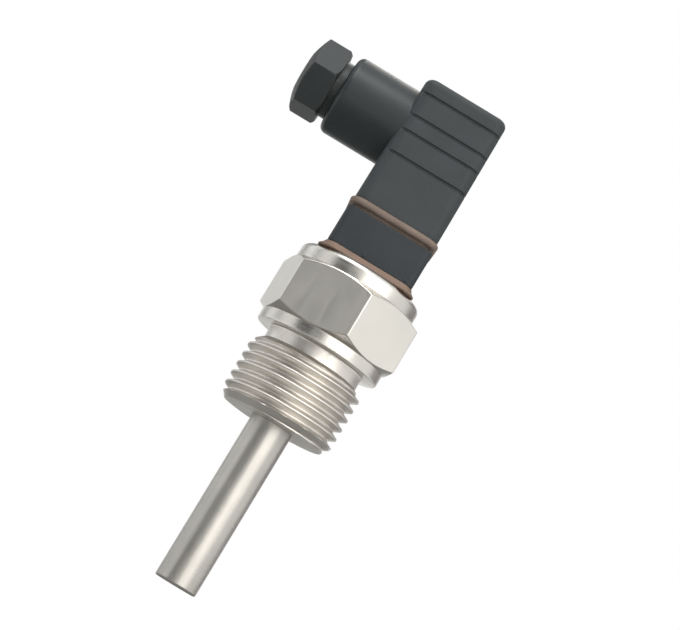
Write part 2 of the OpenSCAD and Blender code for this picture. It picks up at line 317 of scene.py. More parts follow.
def addMath(tree, operation, *values):
    return addNode(tree, "ShaderNodeMath", dict(enumerate(values)), operation=operation)[0]


# object coordinates, so that a pattern stays with its piece
def placeIn(tree):
    return addNode(tree, "ShaderNodeTexCoord", {})["Object"]


def noiseOn(tree, coordinates, scale, stretch=(1, 1, 1), detail=3.0, roughness=0.5):
    place = addNode(tree, "ShaderNodeMapping", {"Scale": stretch, "Vector": coordinates})["Vector"]
    values = {"Vector": place, "Scale": scale, "Detail": detail, "Roughness": roughness}
    return addNode(tree, "ShaderNodeTexNoise", values)["Fac"]


def rampOn(tree, value, colourLow, colourHigh, low=0.3, high=0.7):
    ramp = tree.nodes.new("ShaderNodeValToRGB")
    for element, place, colour in zip(ramp.color_ramp.elements, (low, high), (colourLow, colourHigh)):
        element.position = place
        element.color = (*colour, 1)
    tree.links.new(value, ramp.inputs["Fac"])
    return ramp.outputs["Color"]


def rangeOn(tree, value, low, high, lowest=0.3, highest=0.7):
    values = {"Value": value, "From Min": lowest, "From Max": highest, "To Min": low, "To Max": high}
    return addNode(tree, "ShaderNodeMapRange", values)["Result"]


# what metals and plastics have in common; depth is the relief in mm
kinds = {
    "metal": dict(metallic=1.0, cloudDetail=2.0, fineDetail=4.0, fineRoughness=0.6, depth=0.02),
    "plastic": dict(metallic=0.0, cloudDetail=3.0, fineDetail=5.0, fineRoughness=0.65, depth=0.03),
}


# clouds vary the colour, fine lines or grain the roughness and the relief
def makeFinish(name, look, kind):
    material, tree, shader = newMaterial(name)
    place = placeIn(tree)
    cloud = noiseOn(tree, place, look["cloud"], detail=kind["cloudDetail"])
    fine = noiseOn(tree, place, look["fine"], look.get("stretch", (1, 1, 1)), kind["fineDetail"],
                   kind["fineRoughness"])
    bump = {"Height": fine, "Strength": look["bump"], "Distance": look.get("depth", kind["depth"]) * mm}
    setInputs(tree, shader, {
        "Base Color": rampOn(tree, cloud, look["shade"], look["tone"]),
        "Roughness": rangeOn(tree, fine, look["rough"] - look["spread"], look["rough"] + look["spread"]),
        "Metallic": kind["metallic"], "Specular IOR Level": look.get("specular", 0.5),
        "Normal": addNode(tree, "ShaderNodeBump", bump)["Normal"]})
    return material


# stretch runs the fine lines along a direction
metalLooks = {
    "tubeSteel": dict(tone=(0.55, 0.53, 0.495), shade=(0.49, 0.475, 0.445), cloud=160, fine=1500,
                      stretch=(1, 1, 0.03), rough=0.37, spread=0.05, bump=0.25),
    "turnedSteel": dict(tone=(0.68, 0.655, 0.61), shade=(0.61, 0.59, 0.55), cloud=130, fine=900,
                        stretch=(0.05, 0.05, 1), rough=0.30, spread=0.06, bump=0.3),
    "threadSteel": dict(tone=(0.74, 0.71, 0.665), shade=(0.67, 0.64, 0.60), cloud=150, fine=1100,
                        stretch=(0.15, 0.15, 1), rough=0.40, spread=0.06, bump=0.25),
    "hexSteel": dict(tone=(0.76, 0.735, 0.68), shade=(0.71, 0.69, 0.64), cloud=110, fine=900,
                     stretch=(1, 1, 0.2), rough=0.38, spread=0.025, bump=0.12),
    "plainBrass": dict(tone=(0.78, 0.60, 0.28), shade=(0.68, 0.50, 0.22), cloud=300, fine=1500,
                       stretch=(1, 1, 0.2), rough=0.32, spread=0.06, bump=0.25),
    "tinPlate": dict(tone=(0.78, 0.78, 0.77), shade=(0.66, 0.66, 0.65), cloud=400, fine=1800,
                     stretch=(1, 1, 0.2), rough=0.34, spread=0.06, bump=0.2),
    "zincPlate": dict(tone=(0.74, 0.75, 0.77), shade=(0.60, 0.61, 0.64), cloud=500, fine=1600,
                      stretch=(1, 1, 0.5), rough=0.25, spread=0.06, bump=0.2),
}
plasticLooks = {
    "housingBlack": dict(tone=(0.050, 0.057, 0.061), shade=(0.040, 0.046, 0.049), cloud=130, fine=3800,
                         rough=0.56, spread=0.05, bump=0.3, depth=0.04, specular=0.28),
    # the outlet's copy of the housing black: its darker colour is painted shade, its lower roughness a
    # glossier surface
    "outletPaintedShadeBlack": dict(tone=(0.020, 0.026, 0.029), shade=(0.015, 0.020, 0.022), cloud=130, fine=3800,
                        rough=0.42, spread=0.05, bump=0.2, specular=0.4),
    "baseBlack": dict(tone=(0.033, 0.039, 0.045), shade=(0.026, 0.031, 0.036), cloud=160, fine=3400,
                      rough=0.54, spread=0.06, bump=0.3, depth=0.04, specular=0.3),
    "glandBlack": dict(tone=(0.026, 0.031, 0.032), shade=(0.019, 0.023, 0.024), cloud=150, fine=3600,
                       rough=0.44, spread=0.05, bump=0.25, specular=0.4),
    "blockGrey": dict(tone=(0.060, 0.064, 0.067), shade=(0.045, 0.048, 0.051), cloud=200, fine=3600,
                      rough=0.52, spread=0.05, bump=0.25),
    "profileRubber": dict(tone=(0.235, 0.180, 0.148), shade=(0.175, 0.132, 0.108), cloud=260, fine=2600,
                          rough=0.68, spread=0.06, bump=0.35, depth=0.04, specular=0.35),
    "gasketRubber": dict(tone=(0.265, 0.185, 0.142), shade=(0.19, 0.130, 0.100), cloud=260, fine=2600,
                         rough=0.7, spread=0.06, bump=0.35, depth=0.04, specular=0.35),
    "blackRubber": dict(tone=(0.022, 0.022, 0.022), shade=(0.015, 0.015, 0.015), cloud=300, fine=2600,
                        rough=0.62, spread=0.06, bump=0.3, depth=0.04),
    "whiteCeramic": dict(tone=(0.84, 0.82, 0.77), shade=(0.76, 0.74, 0.69), cloud=500, fine=4200,
                         rough=0.55, spread=0.08, bump=0.2),
    "greyPaste": dict(tone=(0.66, 0.67, 0.67), shade=(0.55, 0.56, 0.56), cloud=900, fine=2000,
                      rough=0.6, spread=0.1, bump=0.5, depth=0.05),
    "whiteLead": dict(tone=(0.80, 0.80, 0.77), shade=(0.72, 0.72, 0.69), cloud=900, fine=3800,
                      rough=0.4, spread=0.06, bump=0.15, depth=0.02),
    "blackResin": dict(tone=(0.020, 0.020, 0.021), shade=(0.012, 0.012, 0.013), cloud=400, fine=900,
                       rough=0.25, spread=0.08, bump=0.3, depth=0.05),
}
finishes = {name: makeFinish(name, look, kinds["metal"]) for name, look in metalLooks.items()}
finishes.update({name: makeFinish(name, look, kinds["plastic"]) for name, look in plasticLooks.items()})

# the solids' own finish, for those that stay in view
cadFinish = {
    "tubeSteel": ["protection_tube"], "hexSteel": ["process_fitting"], "greyPaste": ["heat_paste"],
    "whiteCeramic": ["sensor_element", "insulating_sleeve"], "blackResin": ["potting"],
    "whiteLead": ["lead_wire_1", "lead_wire_2", "lead_wire_3"], "gasketRubber": ["base_seal"],
    "plainBrass": ["threaded_bush", "socket_1", "socket_2", "socket_3", "socket_earth"],
    "tinPlate": ["pin_1", "pin_2", "pin_3", "pin_earth"], "profileRubber": ["profile_seal"],
    "zincPlate": ["terminal_screw_1", "terminal_screw_2", "terminal_screw_3", "terminal_screw_earth",
                  "fixing_screw"],
    "baseBlack": ["connector_base"], "housingBlack": ["plug_housing"], "glandBlack": ["gland_screw"],
    "blockGrey": ["contact_block", "gland_washer"], "blackRubber": ["screw_seal", "gland_seal"],
}
for finish, names in cadFinish.items():
    for node in names:
        nodes[node].data.materials.clear()
        nodes[node].data.materials.append(finishes[finish])
print("finishes made")


# node trees: one makes every thread, one the housing's grooves
# newTree gives the tree, its named inputs and a short way to do sums in it
def newTree(name, inputs):
    tree = bpy.data.node_groups.new(name, "GeometryNodeTree")
    tree.is_modifier = True
    tree.interface.new_socket("Geometry", in_out="OUTPUT", socket_type="NodeSocketGeometry")
    for kind, labels in inputs.items():
        for label in labels:
            tree.interface.new_socket(label, in_out="INPUT", socket_type="NodeSocket" + kind)

    def calc(operation, *values):
        return addMath(tree, operation, *values)
    return tree, addNode(tree, "NodeGroupInput", {}), calc


# smooth shading, realized instances and the material end every tree
def closeTree(tree, geometry, given):
    for kind in ("GeometryNodeSetShadeSmooth", "GeometryNodeRealizeInstances", "GeometryNodeSetMaterial"):
        node = tree.nodes.new(kind)
        tree.links.new(geometry, node.inputs["Geometry"])
        geometry = node.outputs["Geometry"]
    tree.links.new(given["Material"], node.inputs["Material"])
    addNode(tree, "NodeGroupOutput", {"Geometry": geometry})


# x, y and z of each point
def positionIn(tree):
    position = addNode(tree, "GeometryNodeInputPosition", {})["Position"]
    return addNode(tree, "ShaderNodeSeparateXYZ", {"Vector": position})


threadForm = {"rise": 0.48, "blunt": 0.09}                       # shares of the pitch
grooveForm = {"foot": 0.5, "floor": 0.22, "runOut": 0.9}         # shares of the width; the run-out in mm


# a grid wound round the axis, its radius following the helix, with a chamfer at each end
def makeThreadTree():
    tree, given, calc = newTree("screwThread", {
        "Float": ["Major Radius", "Depth", "Pitch", "Low", "High", "Low End Radius", "Low Chamfer",
                  "High End Radius", "High Chamfer", "Bore Radius", "Start"],
        "Int": ["Columns", "Rows"], "Material": ["Material"]})
    rows, low, high, pitch = given["Rows"], given["Low"], given["High"], given["Pitch"]
    grid = addNode(tree, "GeometryNodeMeshGrid", {
        "Size X": 1.0, "Size Y": 1.0, "Vertices X": calc("ADD", given["Columns"], 1),
        "Vertices Y": calc("ADD", rows, 3)})
    split = positionIn(tree)
    circuit = calc("ADD", split["X"], 0.5)
    row = calc("MULTIPLY", calc("ADD", split["Y"], 0.5), calc("ADD", rows, 2))
    share = calc("DIVIDE", calc("SUBTRACT", row, 1), calc("SUBTRACT", rows, 1))
    share = calc("MINIMUM", calc("MAXIMUM", share, 0), 1)
    backDown = calc("LESS_THAN", row, calc("ADD", rows, 1.5))
    share = calc("MULTIPLY", share, backDown)
    height = calc("MULTIPLY_ADD", share, calc("SUBTRACT", high, low), low)
    # the helix is a wave along the height that shifts by one pitch in each circuit
    turn = calc("SUBTRACT", calc("DIVIDE", height, pitch), circuit)
    phase = calc("FRACT", calc("ADD", turn, given["Start"]))
    wave = calc("ABSOLUTE", calc("MULTIPLY_ADD", phase, 2, -1))
    wave = calc("MULTIPLY", calc("MULTIPLY_ADD", wave, -2, 1), calc("MULTIPLY", pitch, threadForm["rise"]))
    halfDepth = calc("MULTIPLY", given["Depth"], 0.5)
    blunt = calc("MULTIPLY", pitch, threadForm["blunt"])
    wave = calc("SMOOTH_MIN", wave, halfDepth, blunt)
    wave = calc("SMOOTH_MAX", wave, calc("MULTIPLY", halfDepth, -1), blunt)
    radius = calc("ADD", wave, calc("SUBTRACT", given["Major Radius"], halfDepth))
    for end, way in (("Low", 1), ("High", -1)):
        along = calc("MULTIPLY", calc("SUBTRACT", height, given[end]), way)
        endRadius = given[end + " End Radius"]
        rise = calc("DIVIDE", calc("SUBTRACT", given["Major Radius"], endRadius), given[end + " Chamfer"])
        radius = calc("MINIMUM", radius, calc("MULTIPLY_ADD", along, rise, endRadius))
    # the first row and the last two run to the bore and close the shell
    inside = calc("MAXIMUM", calc("LESS_THAN", row, 0.5), calc("GREATER_THAN", row, calc("ADD", rows, 0.5)))
    radius = calc("MULTIPLY_ADD", calc("SUBTRACT", given["Bore Radius"], radius), inside, radius)
    angle = calc("MULTIPLY", circuit, 2 * math.pi)
    place = addNode(tree, "ShaderNodeCombineXYZ", {
        "X": calc("MULTIPLY", radius, calc("COSINE", angle)),
        "Y": calc("MULTIPLY", radius, calc("SINE", angle)), "Z": height})
    moved = addNode(tree, "GeometryNodeSetPosition", {"Geometry": grid["Mesh"], "Position": place["Vector"]})
    merged = addNode(tree, "GeometryNodeMergeByDistance", {
        "Geometry": moved["Geometry"], "Distance": meshLimits["weld"] * mm})
    closeTree(tree, merged["Geometry"], given)
    return tree


# presses two pairs of grooves into the walls of a shell, short of one side
def makeGrooveTree():
    tree, given, calc = newTree("gripGrooves", {
        "Geometry": ["Shell"], "Material": ["Material"],
        "Float": ["Centre", "Near", "Far", "Width", "Depth", "Side Limit", "Wall Reach"]})
    split = positionIn(tree)
    level = calc("ABSOLUTE", calc("SUBTRACT", split["Z"], given["Centre"]))
    off = calc("MINIMUM", calc("ABSOLUTE", calc("SUBTRACT", level, given["Near"])),
               calc("ABSOLUTE", calc("SUBTRACT", level, given["Far"])))

    def smoothStep(value, first, last):
        values = {"Value": value, "From Min": first, "From Max": last}
        return addNode(tree, "ShaderNodeMapRange", values, interpolation_type="SMOOTHSTEP")["Result"]
    shape = smoothStep(off, calc("MULTIPLY", given["Width"], grooveForm["foot"]),
                       calc("MULTIPLY", given["Width"], grooveForm["floor"]))
    side = smoothStep(split["X"], given["Side Limit"],
                      calc("ADD", given["Side Limit"], grooveForm["runOut"] * mm))
    reach = calc("MAXIMUM", calc("ABSOLUTE", split["X"]), calc("ABSOLUTE", split["Y"]))
    amount = calc("MULTIPLY", shape, side)
    amount = calc("MULTIPLY", amount, calc("GREATER_THAN", reach, given["Wall Reach"]))
    amount = calc("MULTIPLY", amount, calc("MULTIPLY", given["Depth"], -1))
    normal = addNode(tree, "GeometryNodeInputNormal", {})["Normal"]
    push = addNode(tree, "ShaderNodeVectorMath", {0: normal, "Scale": amount}, operation="SCALE")
    moved = addNode(tree, "GeometryNodeSetPosition", {"Geometry": given["Shell"], "Offset": push["Vector"]})
    closeTree(tree, moved["Geometry"], given)
    return tree


threadTree = makeThreadTree()
grooveTree = makeGrooveTree()


# a threaded rod or sleeve; each end is (radius of its face, length of its chamfer)
def thread(material, radius, depth, pitch, low, high, lowEnd, highEnd, bore=0.0, start=0.0, columns=96,
           perTurn=16):
    lengths = {
        "Major Radius": radius, "Depth": depth, "Pitch": pitch, "Low": low, "High": high,
        "Low End Radius": lowEnd[0], "Low Chamfer": lowEnd[1], "High End Radius": highEnd[0],
        "High Chamfer": highEnd[1], "Bore Radius": bore}
    values = {label: length * mm for label, length in lengths.items()}
    rows = max(8, int((high - low) / pitch * perTurn))
    values.update({"Start": start, "Columns": columns, "Rows": rows, "Material": material})
    made = runTree(threadTree, values)
    tidyMesh(made)
    return made


print("node trees made")


# process fitting: collars, hexagon and the pipe thread
fitting = {
    "threadRadius": 10.4775, "threadPitch": 1.814, "threadDepth": 1.162, "threadStart": 0.53,
    "threadEndRadius": 9.3, "endChamfer": 1.5, "threadColumns": 144, "threadRows": 24,
    "undercutRadius": 8.8, "undercutLength": 2.2, "runIn": 1.4, "rootFillet": 0.35,
    "collarRadius": 11.45, "collarHeight": 2.0, "collarEdge": 0.25, "acrossFlats": 23.0, "hexHeight": 10.2,
    "hexTurn": 13.0, "cornerRound": 0.3, "chamferRadius": 11.25, "chamferAngle": 30.0, "topRadius": 11.25,
    "topRound": 1.2, "tubeHole": 3.5, "socketHole": 6.0, "socketFloor": 3.0, "edge": 0.14,
    "flatMargin": 0.3,      # a flat's finish starts this far from the hexagon's faces
    "flatSlack": 0.1, "uprightTo": 0.05, "neckBelow": -0.05,
}


# (angle, radius) round a hexagon whose corners are slightly rounded
def hexColumns(acrossFlats, turn, cornerRound, perFlat=18, perCorner=6):
    far = (acrossFlats / 2 - cornerRound) / math.cos(math.radians(30))

    def onCorner(middle, swing):
        return Vector((far * math.cos(middle) + cornerRound * math.cos(swing),
                       far * math.sin(middle) + cornerRound * math.sin(swing)))
    outline = []
    for k in range(6):
        middle = math.radians(turn + 60 * k)
        swings = [math.radians(-30 + 60 * i / perCorner) for i in range(perCorner + 1)]
        arc = [onCorner(middle, middle + swing) for swing in swings]
        following = math.radians(turn + 60 * (k + 1))
        landing = onCorner(following, following - math.radians(30))
        outline += arc + [arc[-1].lerp(landing, i / perFlat) for i in range(1, perFlat)]
    return [(math.atan2(p.y, p.x), p.length) for p in outline]


def buildFitting():
    f = SimpleNamespace(**fitting)
    low, high = boxOf("process_fitting")
    hexFoot, top, neck, undercut = f.collarHeight, high.z, f.undercutRadius, -f.undercutLength
    hexTop = hexFoot + f.hexHeight
    slope = math.tan(math.radians(f.chamferAngle))
    columns = []
    for angle, reach in hexColumns(f.acrossFlats, 30 + f.hexTurn, f.cornerRound):
        drop = (reach - f.chamferRadius) * slope
        path = [
            (f.tubeHole, undercut, 0), (neck, undercut, 0), (neck, 0, f.rootFillet),
            (f.collarRadius, 0, f.collarEdge), (f.collarRadius, hexFoot, f.edge),
            (f.chamferRadius, hexFoot, 0), (reach, hexFoot + drop, f.edge),
            (reach, hexTop - drop, f.edge), (f.chamferRadius, hexTop, 0)]
        path += [(f.topRadius - f.topRound * (1 - math.cos(t)),
                  top - f.topRound * (1 - math.sin(t)), 0) for t in quarter()]
        path += [(f.socketHole, top, f.edge), (f.socketHole, f.socketFloor, 0),
                 (f.tubeHole, f.socketFloor, f.edge)]
        columns.append([around(angle, r, z) for r, z, soft in path])
    mesh = loft("fittingBody", columns, [row[-1] for row in path])
    for finish in ("turnedSteel", "hexSteel", "threadSteel"):
        mesh.materials.append(finishes[finish])
    for face in mesh.polygons:
        middle = face.center / mm
        onHex = hexFoot + f.flatMargin < middle.z < hexTop - f.flatMargin
        outside = middle.xy.length > f.acrossFlats / 2 - f.flatSlack
        upright = abs(face.normal.z) < f.uprightTo
        face.material_index = 1 if onHex and outside and upright else 2 if middle.z < f.neckBelow else 0
    body = addPiece("fittingBody", mesh, "root", finishes["turnedSteel"], sharpAngle=50)
    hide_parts("process_fitting")
    helix = thread(finishes["threadSteel"], f.threadRadius, f.threadDepth, f.threadPitch, low.z,
                   undercut, (f.threadEndRadius, f.endChamfer), (neck, f.runIn), bore=f.tubeHole,
                   start=f.threadStart, columns=f.threadColumns, perTurn=f.threadRows)
    piece = addPiece("pipeThread", helix, "root", finishes["threadSteel"], sharpAngle=42,
                     weighted=False)
    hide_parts("process_fitting")


# protection tube with its closed tip
tube = {"radius": 3.8, "wall": 0.8, "tipRound": 0.4, "tipThickness": 1.2, "tipSoft": 0.2, "seatRadius": 3.5,
        "seatGap": 0.02, "rimSoft": 0.1}


def buildTube():
    t = SimpleNamespace(**tube)
    low, high = boxOf("protection_tube")
    radius, seat = t.radius, t.seatRadius
    inner, floor = radius - t.wall, low.z + t.tipThickness
    shoulder = boxOf("process_fitting")[0].z - t.seatGap
    profile = [
        (axis, low.z, 0), (radius, low.z, t.tipRound), (radius, shoulder, 0), (seat, shoulder, 0),
        (seat, high.z, t.rimSoft), (inner, high.z, t.rimSoft), (inner, floor, t.tipSoft),
        (axis, floor, 0)]
    mesh = turned("tubeShell", profile, steps=6)
    piece = addPiece("tubeShell", mesh, "root", finishes["tubeSteel"])
    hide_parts("protection_tube")


# the two rubber seals; foot rows are (inset, corner, rise), top rows (inset, corner, drop, softness) and
# bead rows (inset, share of the height)
seals = {
    "footWidth": 18.2, "topWidth": 16.4, "hole": 6.0,
    "footRows": [(0.15, 3.0, 0.0), (0.0, 3.0, 0.14), (0.2, 3.0, 0.36), (0.55, 2.8, 0.7)],
    "topRows": [(-0.12, 2.2, 0.24, 0), (0.0, 2.0, 0.0, 0.08)],
    "webWidth": 14.0, "webCorner": 1.9, "webTop": 0.36, "webSoft": 0.1, "window": 11.4, "windowCorner": 1.0,
    "beadWidth": 16.8, "beadCorner": 2.2,
    "beadRows": [(0.35, 0.40), (0.08, 0.50), (0.0, 0.64), (0.05, 0.78), (0.22, 0.90), (0.5, 1.0)],
}


def buildSeals():
    s = SimpleNamespace(**seals)
    low, high = boxOf("base_seal")
    foot, top = s.footWidth / 2, s.topWidth / 2
    rows = [roundRow(s.hole, low.z)]
    rows += [(foot - inset, corner, low.z + rise, 0) for inset, corner, rise in s.footRows]
    rows += [(top - inset, corner, high.z - drop, soft) for inset, corner, drop, soft in s.topRows]
    flat = squared("baseGasket", rows + [roundRow(s.hole, high.z)])
    piece = addPiece("baseGasket", flat, "root", finishes["gasketRubber"], sharpAngle=60)
    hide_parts("base_seal")
    low, high = boxOf("profile_seal")
    web, bead, window = s.webWidth / 2, s.beadWidth / 2, s.window / 2
    tall = high.z - low.z
    rows = [(window, s.windowCorner, low.z, 0), (web, s.webCorner, low.z, 0),
            (web, s.webCorner, low.z + s.webTop * tall, s.webSoft)]
    rows += [(bead - inset, s.beadCorner, low.z + share * tall, 0) for inset, share in s.beadRows]
    ring = squared("profileGasket", rows + [(window, s.windowCorner, high.z, 0)])
    piece = addPiece("profileGasket", ring, "root", finishes["profileRubber"], sharpAngle=60)
    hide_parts("profile_seal")


# connector base with its island and spigot
base = {
    "width": 16.2, "corner": 1.2, "footEdge": 0.25, "topEdge": 0.3, "height": 6.9, "islandWidth": 11.2,
    "islandCorner": 1.0, "islandFoot": 0.12, "islandEdge": 0.3, "spigotRadius": 5.9, "spigotEdge": 0.15,
    "spigotBore": 4.9, "boreEdge": 0.1, "cavity": 2.0, "bushRadius": 2.5, "bushDepth": 5.0, "screwHole": 1.5,
    "nibRadius": 0.32, "nibsAt": (-1.5, 6.5), "nibLevel": 0.5, "nibRise": 0.2, "nibRim": 0.12,
    "nibSoft": 0.08, "nibSunk": 0.05, "nibColumns": 20,
}


def buildBase():
    b = SimpleNamespace(**base)
    low, high = boxOf("connector_base")
    foot = boxOf("base_seal")[1].z
    top, roof, bushFloor = foot + b.height, foot + b.cavity, high.z - b.bushDepth
    half, island = b.width / 2, b.islandWidth / 2
    mesh = squared("baseBlock", [
        roundRow(b.spigotBore, low.z, b.boreEdge), roundRow(b.spigotRadius, low.z, b.spigotEdge),
        roundRow(b.spigotRadius, foot), (half, b.corner, foot, b.footEdge),
        (half, b.corner, top, b.topEdge), (island, b.islandCorner, top, b.islandFoot),
        (island, b.islandCorner, high.z, b.islandEdge),
        roundRow(b.bushRadius, high.z, b.boreEdge), roundRow(b.bushRadius, bushFloor),
        roundRow(b.screwHole, bushFloor), roundRow(b.screwHole, roof), roundRow(b.spigotBore, roof)])
    meshes = [mesh]
    for x in b.nibsAt:
        nib = turned("nib", [(axis, 0, 0), (b.nibRadius, 0, 0),
                             (b.nibRadius, b.nibRim, b.nibSoft), (axis, b.nibRise, 0)],
                     b.nibColumns)
        place = Vector((x, b.nibSunk - half, foot + b.nibLevel))
        nib.transform(Matrix.Translation(place * mm) @ Matrix.Rotation(math.radians(90), 4, "X"))
        meshes.append(nib)
    block = joinMeshes("baseBlock", meshes)
    piece = addPiece("baseBlock", block, "root", finishes["baseBlack"])
    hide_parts("connector_base")


# plug housing: grooved shell, screw boss and the side outlet
housing = {
    "footWidth": 15.8, "draft": 0.15, "corner": 2.0, "topRound": 1.3, "inside": 12.5, "insideCorner": 0.8,
    "roof": 2.0, "roofSoft": 0.3, "footSoft": 0.12, "recessRadius": 2.8, "headSeat": 2.6, "screwHole": 1.5,
    "holeSoft": 0.1, "bossRadius": 3.9, "bossDepth": 3.9, "edgeSoft": 0.2, "outletLevel": 15.1,
    "grooveNear": 1.45, "grooveFar": 5.75, "grooveWidth": 0.62, "grooveDepth": 0.36, "grooveStop": 0.35,
    "grooveReach": 0.5, "grooveRows": 16, "rowsAside": 9, "rowsClear": 0.5, "wallRows": 20, "perSide": 18,
    "perCorner": 18, "cornerSpan": 11.0, "crownRows": 8, "outletColumns": 120,
    "outletRadius": 7.2, "mouthRound": 1.2, "mouthLip": 0.25, "bore": 5.32, "boreFloor": 9.5,
    "boreSoft": 0.1, "passage": 3.5, "passageFrom": 4.0, "passageTo": 9.2, "outletRoot": 7.0,
}


# heights of the wall's rows, closer together at the grooves
def wallHeights(foot, shoulder, level):
    h = SimpleNamespace(**housing)
    heights = {foot + (shoulder - foot) * i / h.wallRows for i in range(1, h.wallRows + 1)}
    for step in (-h.grooveFar, -h.grooveNear, h.grooveNear, h.grooveFar):
        heights = {z for z in heights if abs(z - level - step) > h.rowsClear}
        heights |= {level + step + k * h.grooveWidth / h.grooveRows
                    for k in range(-h.rowsAside, h.rowsAside + 1)}
    return sorted(heights)


def buildHousing():
    h = SimpleNamespace(**housing)
    low, high = boxOf("plug_housing")
    foot, top, half = low.z, high.z, h.footWidth / 2
    level, shoulder = foot + h.outletLevel, top - h.topRound

    def lean(z):
        return half - h.draft * (z - foot) / (shoulder - foot)
    wall = [(lean(z), h.corner, z, 0) for z in wallHeights(foot, shoulder, level)]
    crown = []
    for t in quarter(h.crownRows)[1:]:
        inset = h.topRound * (1 - math.cos(t))
        rise = h.topRound * math.sin(t)
        crown.append((lean(shoulder) - inset, h.corner - inset, shoulder + rise, 0))
    inner, roof = h.inside / 2, top - h.roof
    seat, bossFoot = top - h.headSeat, top - h.bossDepth
    rows = [(half, h.corner, foot, h.footSoft)] + wall + crown + [
        roundRow(h.recessRadius, top, h.edgeSoft), roundRow(h.recessRadius, seat),
        roundRow(h.screwHole, seat, h.holeSoft), roundRow(h.screwHole, bossFoot, h.holeSoft),
        roundRow(h.bossRadius, bossFoot, h.edgeSoft), roundRow(h.bossRadius, roof),
        (inner, h.insideCorner, roof, h.roofSoft), (inner, h.insideCorner, foot, h.footSoft)]
    shell = squared("shell", rows, squareAngles(h.perSide, h.perCorner, h.cornerSpan))
    shell = runTree(grooveTree, {
        "Centre": level * mm, "Near": h.grooveNear * mm, "Far": h.grooveFar * mm,
        "Width": h.grooveWidth * mm, "Depth": h.grooveDepth * mm,
        "Side Limit": (h.grooveStop - half) * mm, "Wall Reach": (inner + h.grooveReach) * mm,
        "Material": finishes["housingBlack"]}, shell)
    passage = rodMesh("passage", h.passage, h.passageFrom, h.passageTo)
    shell = cutAway(shell, outward(passage, level))
    reach, mouth = -low.x, h.mouthRound
    profile = [(h.passage, h.outletRoot, 0), (h.outletRadius, h.outletRoot, 0)]
    profile += [(h.outletRadius - mouth * (1 - math.cos(t)), reach - mouth * (1 - math.sin(t)), 0)
                for t in quarter()]
    profile += [(h.bore + h.mouthLip, reach, 0), (h.bore, reach - h.mouthLip, 0),
                (h.bore, h.boreFloor, 0), (h.passage, h.boreFloor, h.boreSoft)]
    outlet = outward(turned("outlet", profile, h.outletColumns), level)
    mesh = joinMeshes("plugShell", [shell, outlet])
    mesh.materials.append(finishes["housingBlack"])
    mesh.materials.append(finishes["outletPaintedShadeBlack"])
    # the outlet's faces take the darker copy of the housing black, whose darker colour is painted shade
    for face in mesh.polygons:
        face.material_index = 1 if face.index >= len(shell.polygons) else 0
    piece = addPiece("plugShell", mesh, "plug_housing", finishes["housingBlack"],
                     sharpAngle=38)
    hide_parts("plug_housing")
    return level


# cable gland: pressure screw, washer and seal
gland = {
    "shankRadius": 5.25, "hexAcross": 12.4, "hexLength": 6.2, "turn": -25.0, "cornerRound": 0.3,
    "perFlat": 12, "backRadius": 6.5, "backAngle": 35.0, "backStep": 0.02, "footSoft": 0.15,
    "domeRadius": 16.0, "domeRows": 5, "hole": 3.5, "holeLip": 0.25, "holeSoft": 0.1, "edge": 0.12,
    "threadPitch": 1.5, "threadDepth": 0.8, "threadTo": 3.4, "threadLap": 0.3, "threadEnd": 0.6,
    "threadRunIn": 0.1, "threadRows": 14, "gap": 0.04,
    "washerHole": 3.3, "washerEdge": 0.15, "sealHole": 3.0, "sealEdge": 0.2, "sealRim": 0.3,
    "sealGrooves": 3, "sealGrooveWidth": 0.3, "sealGrooveDepth": 0.18,
}


def buildGland(level):
    g = SimpleNamespace(**gland)
    low, high = boxOf("gland_screw")
    hexFoot, shankFoot = -low.x - g.hexLength, -high.x
    threadTop = shankFoot + g.threadTo
    shankTop = threadTop - g.threadLap
    domeMiddle = -low.x - g.domeRadius
    back = math.tan(math.radians(g.backAngle))
    columns = []
    for angle, reach in hexColumns(g.hexAcross, g.turn, g.cornerRound, g.perFlat):
        chamfer = max(0.0, reach - g.backRadius) * back + g.backStep
        path = [(g.hole, shankTop, 0), (g.shankRadius, shankTop, 0),
                (g.shankRadius, hexFoot, g.footSoft), (min(reach, g.backRadius), hexFoot, 0),
                (reach, hexFoot + chamfer, g.edge)]
        for i in range(g.domeRows + 1):
            r = reach + (g.hole + g.holeLip - reach) * i / g.domeRows
            path.append((r, domeMiddle + math.sqrt(g.domeRadius ** 2 - r * r), 0 if i else g.edge))
        path.append((g.hole, path[-1][1] - g.holeLip, g.holeSoft))
        columns.append([around(angle, r, z) for r, z, soft in path])
    nut = outward(loft("nut", columns, [row[-1] for row in path]), level)
    helix = thread(finishes["glandBlack"], g.shankRadius, g.threadDepth, g.threadPitch,
                   shankFoot + g.gap, threadTop, (g.shankRadius - g.threadEnd, g.threadEnd),
                   (g.shankRadius, g.threadRunIn), bore=g.hole, perTurn=g.threadRows)
    helix.materials.clear()
    mesh = joinMeshes("pressureScrew", [nut, outward(helix, level)])
    piece = addPiece("pressureScrew", mesh, "gland_screw", finishes["glandBlack"],
                     sharpAngle=48)
    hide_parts("gland_screw")
    low, high = boxOf("gland_washer")
    near, far, outer = -high.x, -low.x, (high.z - low.z) / 2
    corners = ((g.washerHole, near), (outer, near), (outer, far), (g.washerHole, far))
    disc = outward(turned("gripWasher", [(r, z, g.washerEdge) for r, z in corners]), level)
    piece = addPiece("gripWasher", disc, "gland_washer", finishes["blockGrey"])
    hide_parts("gland_washer")
    low, high = boxOf("gland_seal")
    near, far, outer = -high.x, -low.x, (high.z - low.z) / 2
    profile = [(g.sealHole, near, g.sealEdge), (outer, near, g.sealRim)]
    for i in range(1, g.sealGrooves + 1):
        groove = near + (far - near) * i / (g.sealGrooves + 1)
        profile += [(outer, groove - g.sealGrooveWidth, 0), (outer - g.sealGrooveDepth, groove, 0),
                    (outer, groove + g.sealGrooveWidth, 0)]
    profile += [(outer, far, g.sealRim), (g.sealHole, far, g.sealEdge)]
    sleeve = outward(turned("cableSeal", profile), level)
    piece = addPiece("cableSeal", sleeve, "plug_housing", finishes["blackRubber"])
    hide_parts("gland_seal")


